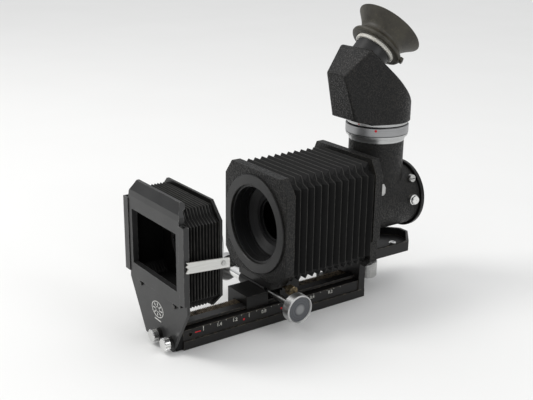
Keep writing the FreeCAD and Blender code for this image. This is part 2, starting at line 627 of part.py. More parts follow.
def make_finder_head():
    """A narrow-fronted casting: its plan is a teardrop and its side view a leaning front, a
    sloping roof and a 45 degree back."""
    plan = new_body("head_plan", keep=False)
    centre, r, half = d.finder_y, d.head_radius, d.head_face_half
    front = d.head_face_y
    sketch = new_sketch(plan, "Z", (0, 0, d.head_low))
    reach = math.hypot(half.value, (centre - front).value)
    angle = math.asin(r.value / reach) - math.atan2(half.value, (centre - front).value)
    tangent = (r.value * math.cos(angle), centre.value - r.value * math.sin(angle))
    circle = Part.Circle(vector(0, centre, 0), vector(0, 0, 1), r.value)
    arc = sketch.addGeometry(Part.ArcOfCircle(circle, -angle, math.pi + angle), False)
    right = sketch.addGeometry(Part.LineSegment(vector(half, front, 0), vector(*tangent, 0)), False)
    left = sketch.addGeometry(Part.LineSegment(vector(-tangent[0], tangent[1], 0), vector(-half, front, 0)),
                              False)
    nose = sketch.addGeometry(Part.LineSegment(vector(-half, front, 0), vector(half, front, 0)), False)
    rule = Sketcher.Constraint
    sketch.addConstraint(rule("Tangent", right, 2, arc, 1))
    sketch.addConstraint(rule("Tangent", arc, 2, left, 1))
    sketch.addConstraint(rule("Coincident", left, 2, nose, 1))
    sketch.addConstraint(rule("Coincident", nose, 2, right, 1))
    pin(sketch, arc, 3, 0, centre)
    number = sketch.addConstraint(rule("Radius", arc, r.value))
    sketch.setExpression("Constraints[%d]" % number, r.text)
    pin(sketch, nose, 1, -half, front)
    pin(sketch, nose, 2, half, front)
    grown = plan.newObject("PartDesign::Pad", "head_plan_pad")
    grown.Profile = sketch
    bind(grown, "Length", d.roof_z - d.head_low + 5)

    side = new_body("head_side", keep=False)
    back = centre + r + 1
    outline = [
        (front, d.head_face_z), (d.roof_y, d.roof_z), (d.knee_y, d.knee_z), (back, d.shoulder_z),
        (back, d.head_foot_z), (centre + 25.5, d.head_foot_z), (centre + 25.5, d.head_low),
        (centre - 25.5, d.head_low), (centre - 27.5, d.head_foot_z), (d.head_foot_y, d.head_foot_z + 1.5),
    ]
    pad(side, "X", [outline], -r - 2, r * 2 + 4)
    shell = doc.addObject("Part::Common", "head_casting")
    shell.Base = plan
    shell.Tool = side
    doc.recompute()
    rounded = doc.addObject("Part::Fillet", "head_rounded")
    rounded.Base = shell
    rounded.Edges = [(n + 1, 2.8, 2.8) for n, edge in enumerate(shell.Shape.Edges)
                     if edge.BoundBox.ZMin > d.head_foot_z.value + 1]
    path = new_body("head_path", keep=False)
    turned(path, "Z", [(d.head_low - 1, 0), (d.head_low - 1, d.neck_bore), (164, d.neck_bore - 1.5),
                       (180, 8), (180, 0)], (0, centre, 0))
    slant = new_body("head_slant", (0, d.eye_y, d.eye_z), ((-1, 0, 0), d.eye_tilt), keep=False)
    turned(slant, "Z", [(-44, 0), (-38, 9), (-14, 9), (-14, d.eye_tube), (2, d.eye_tube), (2, 0)])
    hollow = doc.addObject("Part::MultiFuse", "head_hollow")
    hollow.Shapes = [path, slant]
    head = doc.addObject("Part::Cut", "finder_head")
    head.Label = "finder_head"
    head.Base = rounded
    head.Tool = hollow
    nodes.append(head)
    plain_turned("field_lens", "Z", [(158, 0), (158, 20.4), (160.5, 20.4), (163, 12), (163.8, 0)],
                 (0, centre, 0))


def make_eyepiece():
    at, turn = (0, d.eye_y, d.eye_z), ((-1, 0, 0), d.eye_tilt)
    tube, bore = d.eye_tube, d.eye_bore
    profiles = {
        "eyepiece_tube": [(-14, bore), (-14, tube), (-0.4, tube), (-0.4, bore)],
        "eyepiece_ring": [(-0.2, 14.6), (-0.2, tube + 1.8), (0.3, tube + 2.3), (2.2, tube + 2.3),
                          (2.2, 14.6)],
        "eyepiece_lens": [(0, 0), (0, 14.6), (2.2, 14.6), (4.2, 8), (4.8, 0)],
        "eyecup": [(2.2, 14.6), (2.2, 22.4), (3.0, 23.8), (4.5, 24.3), (6.0, 23.6), (7.2, 21.8), (9.5, 20.6),
                   (12.5, 21.0), (16.5, 23.8), (20.5, 27.6), (23.6, 30.6), (24.4, 30.0), (21.2, 25.6),
                   (17.0, 21.2), (12.5, 18.4), (9.0, 17.6), (5.2, 17.6), (5.2, 14.6)],
    }
    for label, profile in profiles.items():
        turned(new_body(label, at, turn), "Z", profile)


# ---- lens hood --------------------------------------------------------------------------------

def make_hood_bracket():
    spacer = new_body("bracket_spacer")
    pad(spacer, "Y", [rectangle(-2.6, 24, 0.8, 15.5)], -d.hood_back, d.hood_back - d.bed_front)
    body = new_body("hood_bracket")
    gap = d.bracket_gap
    low, wide = d.bracket_low_half, d.bracket_half
    narrow, ledge, top = d.hood_half, 47.8, 56
    outline = [(-low, gap), (low, gap), (wide, 40.5), (wide, ledge), (narrow, ledge), (narrow, top),
               (-narrow, top), (-narrow, ledge),
               (-wide, ledge), (-wide, 40.5)]
    pad(body, "Y", [outline], -d.hood_back - 2.2, 2.2)
    soften(body, 0.5, lambda edge: edge.BoundBox.YLength < 0.01 and edge.BoundBox.YMax < -91
           and edge.BoundBox.ZMin < 41 and edge.BoundBox.ZLength > 5)
    for part in (body, spacer):
        depth = 2.2 if part is body else 5.0
        start = -d.hood_back - 2.2 if part is body else -d.hood_back
        holes = [(1.85, d.screw_a, d.screw_z), (1.85, d.screw_b, d.screw_z)]
        pocket(part, "Y", holes, start, depth)


def make_hood_frame():
    body = new_body("hood_frame")
    half, front, back = d.hood_half, d.hood_front, d.hood_back
    hole = rectangle(-d.window_half, d.window_half, d.window_low, d.window_top)
    pad(body, "Y", [rectangle(-half, half, 56, 113), hole], -front, front - back)
    pad(body, "Y", [rectangle(-half, half, 44.6, 56)], -front, front - back - 2.2)
    # A lip along the top leans back and ends in a rounded roll.
    lip = [(-front, 113), (-back, 113), (-back, 119.8), (-back + 3.0, 121.2), (-back + 3.4, 124),
           (-back + 1.8, 125.8), (-back - 0.4, 125.6), (-back - 1.6, 122.6), (-front + 0.6, 117.6)]
    pad(body, "X", [lip], -half, half * 2)
    for side in (-1, 1):
        past = half + 1
        corner = [(side * half, 116), (side * past, 116), (side * past, 127), (side * (half - 7), 127)]
        pocket(body, "Y", [corner], -front - 1, 12)


def make_hood_guides():
    """Open-topped channels for a mask, one at each side of the window."""
    front, half = d.guide_front, d.guide_half
    for label, side in (("hood_guide_left", 1), ("hood_guide_right", -1)):
        body = new_body(label)
        inner, outer = d.hood_half + 0.4, half
        low, high = (inner, outer) if side > 0 else (-outer, -inner)
        pad(body, "Z", [rectangle(low, high, -front, -89.9)], 48.2, 62.0)
        pocket(body, "Z", [rectangle(low + 1.4, high - 1.4, -front + 1.3, -91.1)], 56, 60)
        bridge_low, bridge_high = (d.hood_half, inner) if side > 0 else (-inner, -d.hood_half)
        pad(body, "Z", [rectangle(bridge_low, bridge_high, -92.5, -90.2)], 60, 38)


def make_hood_screws():
    for label, x in (("frame_screw_left", 27), ("frame_screw_right", -27)):
        screw_head(label, "Y", (x, -d.hood_back - 2.2, 41.2), 2.4, -1.7, 0.6)


def make_thumbscrews():
    """Fluted clamping screws with dark collars, side by side in the bracket's foot."""
    front = -d.hood_back - 2.2
    for label, x in (("thumbscrew_left", d.screw_b), ("thumbscrew_right", d.screw_a)):
        at = (x, front, d.screw_z)
        body = new_body(label, at)
        turned(body, "Y", [(-8.2, 0), (-8.2, 4.6), (-7.6, 5.3), (-3.6, 5.3), (-3.0, 4.6), (-3.0, 1.8),
                           (6.6, 1.8), (6.6, 0)])
        flutes(body, "Y", 5.3, 0.6, 0.7, -9, 6.5, 16)
        plain_turned(label.replace("thumbscrew", "screw_collar"), "Y",
                     [(-2.8, 1.9), (-2.8, 4.0), (-2.4, 4.6), (0, 4.6), (0, 1.9)], at)


def make_hood_rear():
    body = new_body("hood_rear_frame")
    outline = chamfered(d.hood_rear_half, 37.2, 123.0, (12.4, 12.4), (12.7, 13.2))
    front, back = d.hood_rear_front, d.hood_rear_back
    pad(body, "Y", [outline, (d.hood_ring_radius, 0, d.hood_z)], -front, front - back)
    soften(body, 0.6, lambda edge: edge.BoundBox.YLength < 0.01 and edge.BoundBox.YMin > -61
           and len(edge.Vertexes) == 2)
    r = d.hood_ring_radius
    profile = [(-front + 1, r - 2), (-front + 1, r), (-48, r), (-47.4, r - 0.6), (-47.4, r - 1.4),
               (-48.4, r - 2)]
    plain_turned("hood_ring", "Y", profile, (0, 0, d.hood_z))


def make_strap():
    """A flat steel strap that pivots on the hood's rear frame and ends in two notches."""
    body = new_body("strap")
    outline = [(-93.6, 84.4), (-92.0, 82.6), (-93.6, 80.9), (-91.8, 79.4), (-93.6, 76.0), (-92.6, 75.6),
               (-74, 74.2), (-56.6, 73.0), (-56.0, 73.8), (-56.0, 80.2), (-56.6, 80.8), (-74, 82.6)]
    pad(body, "X", [outline, (1.65, -61.6, 77.4)], d.guide_half + 1.0, 1.0)
    x = d.hood_rear_half
    inside, outside, end = d.guide_half + 0.8, d.guide_half + 2.2, d.guide_half + 3.2
    plain_turned("strap_pivot", "X", [(x, 0), (x, 2.2), (inside, 2.2), (inside, 1.6), (outside, 1.6),
                                      (outside, 2.0), (end - 0.2, 1.7), (end, 0)], (0, -61.6, 77.4))


# ---- build and write ----------------------------------------------------------------------------

def write_pieces():
    doc.recompute()
    for thing in doc.Objects:
        bad = [state for state in thing.State if state in ("Invalid", "Error")]
        assert not bad, "%s is %s" % (thing.Label, bad)
    os.makedirs("parts", exist_ok=True)
    for piece in nodes:
        shape = piece.Shape
        assert not shape.isNull() and shape.isValid() and shape.Volume > 0, piece.Label
        assert len(shape.Solids) == 1, "%s has %d solids" % (piece.Label, len(shape.Solids))
        shape.exportStep("parts/%s.step" % piece.Label)
    print("%d pieces" % len(nodes))


make_bed()
make_track()
make_rack()
make_riser()
make_tray()
make_pedestal()
make_tray_screw()
make_tray_knob()
make_front_standard()
make_lens_ring()
make_lens_funnel()
make_carriage()
make_bearing_tube()
make_drive()
make_pinion()
make_lock_screw()
make_bellows("main_bellows", d.bellows_half, d.bellows_low, d.bellows_top, d.bellows_wall,
             d.plate_depth, d.rear_front - d.plate_depth, 8)
make_rear_standard()
make_housing()
make_rear_mount()
make_mirror()
make_button()
make_catch()
make_finder_rings()
make_finder_head()
make_eyepiece()
make_hood_bracket()
make_hood_frame()
make_hood_guides()
make_hood_screws()
make_thumbscrews()
make_bellows("hood_bellows", 44.8, 39.5, 119.5, 5.0, -d.hood_back, d.hood_back - d.hood_rear_front, 11)
make_hood_rear()
make_strap()
write_pieces()
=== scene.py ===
import math
import bmesh
import bpy
from mathutils import Matrix, Vector, noise


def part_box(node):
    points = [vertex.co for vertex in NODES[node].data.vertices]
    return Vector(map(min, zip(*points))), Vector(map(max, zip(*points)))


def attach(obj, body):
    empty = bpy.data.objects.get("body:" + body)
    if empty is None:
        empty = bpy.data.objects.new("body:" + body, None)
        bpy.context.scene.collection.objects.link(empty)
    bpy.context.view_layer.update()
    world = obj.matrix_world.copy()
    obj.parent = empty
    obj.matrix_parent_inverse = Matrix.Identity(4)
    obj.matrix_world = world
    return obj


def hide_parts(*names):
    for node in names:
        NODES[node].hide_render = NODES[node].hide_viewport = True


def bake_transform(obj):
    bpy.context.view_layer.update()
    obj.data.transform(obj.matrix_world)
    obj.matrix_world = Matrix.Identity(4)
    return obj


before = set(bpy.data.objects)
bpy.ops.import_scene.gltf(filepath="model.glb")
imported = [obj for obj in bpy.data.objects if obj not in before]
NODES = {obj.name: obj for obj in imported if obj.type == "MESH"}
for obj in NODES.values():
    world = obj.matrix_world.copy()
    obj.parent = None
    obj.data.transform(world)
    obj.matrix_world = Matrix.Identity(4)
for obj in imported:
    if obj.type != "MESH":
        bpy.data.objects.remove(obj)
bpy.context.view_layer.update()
MM = 0.001


# ---- camera, floor and light ----------------------------------------------------------------

def aim(thing, place, target, roll=0.0):
    """Put a lamp or camera somewhere and point its -Z at the target."""
    thing.location = place
    towards = Vector(target) - Vector(place)
    thing.rotation_euler = (towards.to_track_quat("-Z", "Y").to_matrix().to_4x4()
                            @ Matrix.Rotation(roll, 4, "Z")).to_euler()


def make_camera():
    """A table-height view from the lens hood's side, a little above the unit."""
    azimuth, elevation, roll = math.radians(54.54), math.radians(18.24), math.radians(0.73)
    right = Vector((math.cos(azimuth), math.sin(azimuth), 0))
    back = Vector((math.sin(azimuth) * math.cos(elevation), -math.cos(azimuth) * math.cos(elevation),
                   math.sin(elevation)))
    up = back.cross(right)
    tilted_right = right * math.cos(roll) + up * math.sin(roll)
    tilted_up = up * math.cos(roll) - right * math.sin(roll)
    centre = Vector((0, 44, 77)) - tilted_right * 25.78 + tilted_up * 16.31
    camera = bpy.data.objects.new("camera", bpy.data.cameras.new("camera"))
    camera.data.lens = 59.9
    camera.data.sensor_width = 36
    camera.data.clip_start = 0.01
    turn = Matrix((tilted_right, tilted_up, back)).transposed()
    camera.matrix_world = Matrix.Translation((centre + back * 757.28) * MM) @ turn.to_4x4()
    bpy.context.scene.collection.objects.link(camera)
    bpy.context.scene.camera = camera


def make_softbox(name, place, target, wide, high, power, tint=(1, 1, 1)):
    lamp = bpy.data.lights.new(name, "AREA")
    lamp.shape = "RECTANGLE"
    lamp.size = wide
    lamp.size_y = high
    lamp.energy = power
    lamp.color = tint
    holder = bpy.data.objects.new(name, lamp)
    aim(holder, place, target)
    bpy.context.scene.collection.objects.link(holder)


def make_floor():
    """A wide sheet of white paper with the faintest mottle."""
    shell = bmesh.new()
    bmesh.ops.create_grid(shell, x_segments=1, y_segments=1, size=14.0)
    mesh = bpy.data.meshes.new("floor")
    shell.to_mesh(mesh)
    shell.free()
    floor = bpy.data.objects.new("floor", mesh)
    floor.location = (0, 0, -0.0002)
    bpy.context.scene.collection.objects.link(floor)
    paint, tree, shader = new_material("floor_paper", (0.9, 0.9, 0.89), 0.9, specular=0.08)
    broad = noise_field(tree, 5.0, detail=2)
    link(tree, blend_colours(tree, broad, (0.835, 0.835, 0.828), (0.862, 0.862, 0.857)),
         shader.inputs["Base Color"])
    mesh.materials.append(paint)


def make_sky():
    """A light tent: bright overhead, greyer towards the horizon, so that metal has shape."""
    world = bpy.data.worlds.new("studio")
    world.use_nodes = True
    tree = world.node_tree
    place = tree.nodes.new("ShaderNodeTexCoord")
    split = tree.nodes.new("ShaderNodeSeparateXYZ")
    ramp = tree.nodes.new("ShaderNodeValToRGB")
    tree.links.new(place.outputs["Generated"], split.inputs[0])
    tree.links.new(split.outputs["Z"], ramp.inputs["Fac"])
    ramp.color_ramp.elements[0].position = 0.0
    ramp.color_ramp.elements[0].color = (0.22, 0.225, 0.23, 1)
    ramp.color_ramp.elements[1].position = 0.85
    ramp.color_ramp.elements[1].color = (1.0, 1.0, 1.0, 1)
    middle = ramp.color_ramp.elements.new(0.4)
    middle.color = (0.66, 0.67, 0.68, 1)
    tree.links.new(ramp.outputs["Color"], tree.nodes["Background"].inputs["Color"])
    tree.nodes["Background"].inputs["Strength"].default_value = 1.0
    bpy.context.scene.world = world


def make_lamps():
    centre = (0, 0.04, 0.09)
    make_softbox("key", (-0.7, -1.0, 1.5), centre, 0.7, 0.7, 13, (1.0, 0.99, 0.97))
    make_softbox("side", (1.7, 0.5, 1.1), centre, 0.6, 1.0, 6, (0.98, 0.99, 1.0))
    bpy.context.scene.view_settings.view_transform = "Standard"


# ---- shader helpers -------------------------------------------------------------------------

def link(tree, source, target):
    tree.links.new(source, target)


def new_material(name, colour, rough, metal=0.0, specular=0.5):
    """A plain start: uniform values sit on the shader itself."""
    material = bpy.data.materials.new(name)
    material.use_nodes = True
    shader = material.node_tree.nodes["Principled BSDF"]
    shader.inputs["Base Color"].default_value = (*colour, 1)
    shader.inputs["Roughness"].default_value = rough
    shader.inputs["Metallic"].default_value = metal
    shader.inputs["Specular IOR Level"].default_value = specular
    return material, material.node_tree, shader


def object_place(tree, stretch=None, shift=None):
    place = tree.nodes.new("ShaderNodeTexCoord").outputs["Object"]
    if stretch is None and shift is None:
        return place
    mapping = tree.nodes.new("ShaderNodeMapping")
    mapping.inputs["Scale"].default_value = stretch or (1, 1, 1)
    mapping.inputs["Location"].default_value = shift or (0, 0, 0)
    link(tree, place, mapping.inputs["Vector"])
    return mapping.outputs["Vector"]


def noise_field(tree, scale, detail=3, rough=0.55, stretch=None, vector=None):
    node = tree.nodes.new("ShaderNodeTexNoise")
    node.inputs["Scale"].default_value = scale
    node.inputs["Detail"].default_value = detail
    node.inputs["Roughness"].default_value = rough
    link(tree, vector or object_place(tree, stretch), node.inputs["Vector"])
    return node.outputs["Fac"]


def blend_colours(tree, factor, low, high):
    """A colour between two; each may be a colour or another node's output."""
    node = tree.nodes.new("ShaderNodeMix")
    node.data_type = "RGBA"
    link(tree, factor, node.inputs["Factor"])
    for name, value in (("A", low), ("B", high)):
        socket = [item for item in node.inputs if item.name == name and item.type == "RGBA"][0]
        if isinstance(value, tuple):
            socket.default_value = (*value, 1)
        else:
            link(tree, value, socket)
    return [item for item in node.outputs if item.type == "RGBA"][0]


def spread(tree, value, low, high, to_low=0.0, to_high=1.0):
    """Map a value's useful span to another span, clamped."""
    node = tree.nodes.new("ShaderNodeMapRange")
    node.inputs["From Min"].default_value = low
    node.inputs["From Max"].default_value = high
    node.inputs["To Min"].default_value = to_low
    node.inputs["To Max"].default_value = to_high
    link(tree, value, node.inputs["Value"])
    return node.outputs["Result"]


def sums(tree, how, first, second):
    node = tree.nodes.new("ShaderNodeMath")
    node.operation = how
    for number, value in enumerate((first, second)):
        if isinstance(value, (int, float)):
            node.inputs[number].default_value = value
        else:
            link(tree, value, node.inputs[number])
    return node.outputs[0]


def emboss(tree, shader, height, depth, strength=1.0):
    """Feed a height to the shader's normal; depth is in metres for a height of one."""
    node = tree.nodes.new("ShaderNodeBump")
    node.inputs["Distance"].default_value = depth
    node.inputs["Strength"].default_value = strength
    link(tree, height, node.inputs["Height"])
    link(tree, node.outputs["Normal"], shader.inputs["Normal"])


def new_group(name, takes, gives):
    """An empty node group with its inputs' defaults, and one number per output."""
    tree = bpy.data.node_groups.new(name, "ShaderNodeTree")
    for label, kind, value in takes:
        socket = tree.interface.new_socket(label, in_out="INPUT", socket_type=kind)
        socket.default_value = value
    for label in gives:
        tree.interface.new_socket(label, in_out="OUTPUT", socket_type="NodeSocketFloat")
    return tree, tree.nodes.new("NodeGroupInput"), tree.nodes.new("NodeGroupOutput")


def use_group(tree, group, **values):
    node = tree.nodes.new("ShaderNodeGroup")
    node.node_tree = group
    for label, value in values.items():
        node.inputs[label.replace("_", " ")].default_value = value
    return node


# ---- shared effects -------------------------------------------------------------------------

def make_edge_wear():
    """Where paint has rubbed off: rounded-corner difference broken up by noise."""
    tree, given, result = new_group("edge wear", [("Width", "NodeSocketFloat", 0.0008),
                                                  ("Amount", "NodeSocketFloat", 0.5)], ["Mask"])
    corner = tree.nodes.new("ShaderNodeBevel")
    corner.samples = 4
    link(tree, given.outputs["Width"], corner.inputs["Radius"])
    flat = tree.nodes.new("ShaderNodeNewGeometry")
    dot = tree.nodes.new("ShaderNodeVectorMath")
    dot.operation = "DOT_PRODUCT"
    link(tree, corner.outputs["Normal"], dot.inputs[0])
    link(tree, flat.outputs["Normal"], dot.inputs[1])
    turn = sums(tree, "SUBTRACT", 1.0, dot.outputs["Value"])
    sharp = spread(tree, turn, 0.03, 0.2)
    patches = spread(tree, noise_field(tree, 260, detail=5), 0.42, 0.62)
    mask = sums(tree, "MULTIPLY", sums(tree, "MULTIPLY", sharp, patches), given.outputs["Amount"])
    link(tree, mask, result.inputs["Mask"])
    return tree


def make_fine_grain():
    """The small unevenness of sprayed and cast surfaces, and a broad uneven sheen."""
    tree, given, result = new_group("fine grain", [("Scale", "NodeSocketFloat", 1500.0)],
                                    ["Fine", "Broad"])
    fine = tree.nodes.new("ShaderNodeTexNoise")
    fine.inputs["Detail"].default_value = 3
    link(tree, object_place(tree), fine.inputs["Vector"])
    link(tree, given.outputs["Scale"], fine.inputs["Scale"])
    link(tree, fine.outputs["Fac"], result.inputs["Fine"])
    broad = noise_field(tree, 34, detail=4, rough=0.6)
    link(tree, spread(tree, broad, 0.3, 0.7), result.inputs["Broad"])
    return tree


def make_crinkle():
    """Wrinkle enamel: small rounded islands with wandering borders."""
    tree, given, result = new_group("crinkle enamel", [("Scale", "NodeSocketFloat", 900.0)],
                                    ["Height", "Tops"])
    place = object_place(tree)
    warp = tree.nodes.new("ShaderNodeTexNoise")
    warp.inputs["Scale"].default_value = 700
    warp.inputs["Detail"].default_value = 2
    link(tree, place, warp.inputs["Vector"])
    shift = tree.nodes.new("ShaderNodeVectorMath")
    shift.operation = "MULTIPLY_ADD"
    shift.inputs[1].default_value = (0.0011, 0.0011, 0.0011)
    link(tree, warp.outputs["Color"], shift.inputs[0])
    link(tree, place, shift.inputs[2])
    cells = tree.nodes.new("ShaderNodeTexVoronoi")
    cells.feature = "SMOOTH_F1"
    cells.inputs["Smoothness"].default_value = 0.6
    link(tree, shift.outputs["Vector"], cells.inputs["Vector"])
    link(tree, given.outputs["Scale"], cells.inputs["Scale"])
    height = sums(tree, "SUBTRACT", 1.0, cells.outputs["Distance"])
    link(tree, height, result.inputs["Height"])
    link(tree, spread(tree, height, 0.45, 0.8), result.inputs["Tops"])
    return tree


def make_turning():
    """The fine rings that a lathe leaves about an axis, and the distance from it."""
    tree, given, result = new_group("turning lines", [("Centre", "NodeSocketVector", (0, 0, 0)),
                                                      ("Axis", "NodeSocketVector", (1, 0, 0)),
                                                      ("Scale", "NodeSocketFloat", 2500.0)],
                                    ["Line", "Radius"])
    offset = tree.nodes.new("ShaderNodeVectorMath")
    offset.operation = "SUBTRACT"
    link(tree, object_place(tree), offset.inputs[0])
    link(tree, given.outputs["Centre"], offset.inputs[1])
    along = tree.nodes.new("ShaderNodeVectorMath")
    along.operation = "DOT_PRODUCT"
    link(tree, offset.outputs["Vector"], along.inputs[0])
    link(tree, given.outputs["Axis"], along.inputs[1])
    away = tree.nodes.new("ShaderNodeVectorMath")
    away.operation = "CROSS_PRODUCT"
    link(tree, offset.outputs["Vector"], away.inputs[0])
    link(tree, given.outputs["Axis"], away.inputs[1])
    radius = tree.nodes.new("ShaderNodeVectorMath")
    radius.operation = "LENGTH"
    link(tree, away.outputs["Vector"], radius.inputs[0])
    both = tree.nodes.new("ShaderNodeCombineXYZ")
    link(tree, along.outputs["Value"], both.inputs[0])
    link(tree, radius.outputs["Value"], both.inputs[1])
    rings = tree.nodes.new("ShaderNodeTexNoise")
    rings.inputs["Detail"].default_value = 4
    link(tree, both.outputs["Vector"], rings.inputs["Vector"])
    link(tree, given.outputs["Scale"], rings.inputs["Scale"])
    link(tree, rings.outputs["Fac"], result.inputs["Line"])
    link(tree, radius.outputs["Value"], result.inputs["Radius"])
    return tree


EDGE_WEAR = make_edge_wear()
FINE_GRAIN = make_fine_grain()
CRINKLE = make_crinkle()
TURNING = make_turning()


# ---- finishes -------------------------------------------------------------------------------

def black_enamel(name, colour, sheen, rough, specular=0.35, worn=(0.16, 0.15, 0.13), amount=0.5,
                 width=0.0007, grain=1500.0, depth=0.00003):
    """Sprayed black: a broad uneven sheen, fine grain, and rubbed edges."""
    material, tree, shader = new_material(name, colour, rough, specular=specular)
    grains = use_group(tree, FINE_GRAIN, Scale=grain)
    wear = use_group(tree, EDGE_WEAR, Width=width, Amount=amount)
    base = blend_colours(tree, grains.outputs["Broad"], colour, sheen)
    link(tree, blend_colours(tree, wear.outputs["Mask"], base, worn), shader.inputs["Base Color"])
    dull = spread(tree, grains.outputs["Broad"], 0, 1, rough - 0.05, rough + 0.09)
    link(tree, dull, shader.inputs["Roughness"])
    emboss(tree, shader, grains.outputs["Fine"], depth, 0.8)
    return material


# painted shade: the near-black colour of the wrinkle gaps
CRINKLE_GAP_PAINTED_SHADE = (0.002, 0.002, 0.002)


def crinkle_enamel(name, scale, depth):
    """Wrinkle enamel: glossy brown-black tops over dull black gaps, rubbed on the edges. The colour
    follows the wrinkle height: the near-black of the gaps is painted shade in the hollows, and the tops'
    lighter brown is partly the paint's tone and partly painted light.
    """
    material, tree, shader = new_material(name, CRINKLE_GAP_PAINTED_SHADE, 0.4, specular=0.34)
    wrinkles = use_group(tree, CRINKLE, Scale=scale)
    grains = use_group(tree, FINE_GRAIN, Scale=600.0)
    wear = use_group(tree, EDGE_WEAR, Width=0.0008, Amount=0.6)
    brown = blend_colours(tree, grains.outputs["Broad"], (0.006, 0.0055, 0.0045), (0.016, 0.0135, 0.010))
    # painted shade and light: near-black in the wrinkle gaps, lighter brown on the tops, following the
    # wrinkle height
    base = blend_colours(tree, wrinkles.outputs["Tops"], CRINKLE_GAP_PAINTED_SHADE, brown)
    link(tree, blend_colours(tree, wear.outputs["Mask"], base, (0.11, 0.10, 0.08)),
         shader.inputs["Base Color"])
    link(tree, spread(tree, wrinkles.outputs["Tops"], 0, 1, 0.62, 0.24), shader.inputs["Roughness"])
    emboss(tree, shader, wrinkles.outputs["Height"], depth, 0.9)
    return material


def turned_metal(name, colour, dark, rough, centre, axis, scale=2500.0, depth=0.000012, span=0.12,
                 metal=1.0, specular=0.5, edge=None):
    """Lathe-turned metal: rings in the roughness, tone and relief, with bright edges if given."""
    material, tree, shader = new_material(name, colour, rough, metal, specular)
    lathe = use_group(tree, TURNING, Centre=centre, Axis=axis, Scale=scale)
    grains = use_group(tree, FINE_GRAIN, Scale=1800.0)
    mottle = sums(tree, "MULTIPLY", spread(tree, lathe.outputs["Line"], 0.35, 0.65),
                  spread(tree, grains.outputs["Broad"], 0, 1, 0.7, 1.0))
    base = blend_colours(tree, mottle, dark, colour)
    if edge:
        wear = use_group(tree, EDGE_WEAR, Width=0.0005, Amount=0.9)
        base = blend_colours(tree, wear.outputs["Mask"], base, edge)
    link(tree, base, shader.inputs["Base Color"])
    ringed = spread(tree, lathe.outputs["Line"], 0.3, 0.7, rough - span / 2, rough + span / 2)
    dull = sums(tree, "ADD", ringed, spread(tree, grains.outputs["Broad"], 0, 1, 0.0, 0.05))
    link(tree, dull, shader.inputs["Roughness"])
    emboss(tree, shader, lathe.outputs["Line"], depth, 0.7)
    return material, tree, shader, lathe


def polished_metal(name, colour, rough, smudge=0.1, depth=0.00001):
    """Smooth bright metal with a patchy film of handling."""
    material, tree, shader = new_material(name, colour, rough, 1.0)
    grains = use_group(tree, FINE_GRAIN, Scale=2600.0)
    dark = tuple(value * 0.8 for value in colour)
    link(tree, blend_colours(tree, grains.outputs["Broad"], colour, dark), shader.inputs["Base Color"])
    link(tree, spread(tree, grains.outputs["Broad"], 0, 1, rough, rough + smudge),
         shader.inputs["Roughness"])
    emboss(tree, shader, grains.outputs["Fine"], depth, 0.5)
    return material


def strap_metal():
    """Matt plated steel, faintly brushed along its length, with rubbed brassy corners."""
    material, tree, shader = new_material("strap_metal", (0.62, 0.62, 0.6), 0.42, 0.75)
    brushed = noise_field(tree, 900, detail=4, stretch=(1, 0.06, 1))
    grains = use_group(tree, FINE_GRAIN, Scale=900.0)
    wear = use_group(tree, EDGE_WEAR, Width=0.0006, Amount=0.8)
    base = blend_colours(tree, brushed, (0.5, 0.5, 0.48), (0.74, 0.74, 0.72))
    stained = blend_colours(tree, spread(tree, grains.outputs["Broad"], 0.6, 1.0, 0, 0.5), base,
                            (0.52, 0.49, 0.43))
    link(tree, blend_colours(tree, wear.outputs["Mask"], stained, (0.36, 0.29, 0.19)),
         shader.inputs["Base Color"])
    link(tree, spread(tree, brushed, 0.3, 0.7, 0.36, 0.5), shader.inputs["Roughness"])
    emboss(tree, shader, brushed, 0.00002, 0.6)
    return material


def worn_brass():
    """Old brass, rubbed bright on its ridges, with grime in the hollows."""
    material, tree, shader = new_material("brass", (0.33, 0.26, 0.14), 0.42, 0.9)
    patches = spread(tree, noise_field(tree, 420, detail=6, rough=0.65), 0.4, 0.62)
    wear = use_group(tree, EDGE_WEAR, Width=0.0007, Amount=1.0)
    base = blend_colours(tree, patches, (0.035, 0.028, 0.02), (0.3, 0.23, 0.13))
    link(tree, blend_colours(tree, wear.outputs["Mask"], base, (0.62, 0.52, 0.36)),
         shader.inputs["Base Color"])
    link(tree, spread(tree, patches, 0, 1, 0.62, 0.36), shader.inputs["Roughness"])
    emboss(tree, shader, patches, 0.00004, 0.7)
    return material


def rack_metal():
    """A dark toothed bar whose tips are rubbed to a brownish metal and whose gaps hold grease."""
    material, tree, shader = new_material("rack_metal", (0.05, 0.045, 0.035), 0.42, 0.6)
    height = tree.nodes.new("ShaderNodeSeparateXYZ")
    link(tree, object_place(tree), height.inputs[0])
    tips = spread(tree, height.outputs["Z"], 19.15 * MM, 19.95 * MM)
    rubbed = sums(tree, "MULTIPLY", tips, spread(tree, noise_field(tree, 300, detail=5), 0.3, 0.6))
    link(tree, blend_colours(tree, rubbed, (0.012, 0.01, 0.008), (0.26, 0.2, 0.13)),
         shader.inputs["Base Color"])
    link(tree, spread(tree, rubbed, 0, 1, 0.6, 0.34), shader.inputs["Roughness"])
    emboss(tree, shader, noise_field(tree, 2200, detail=3), 0.00003, 0.6)
    return material


def cream_ring():
    """Aged ivory-coloured paint, a little dirty in patches."""
    material, tree, shader = new_material("cream", (0.7, 0.67, 0.58), 0.5, specular=0.4)
    patches = spread(tree, noise_field(tree, 260, detail=6, rough=0.7), 0.54, 0.74)
    broad = noise_field(tree, 60, detail=3)
    base = blend_colours(tree, broad, (0.72, 0.7, 0.63), (0.86, 0.85, 0.8))
    link(tree, blend_colours(tree, patches, base, (0.42, 0.37, 0.28)), shader.inputs["Base Color"])
    link(tree, spread(tree, patches, 0, 1, 0.42, 0.62), shader.inputs["Roughness"])
    emboss(tree, shader, patches, 0.00004, 0.6)
    return material


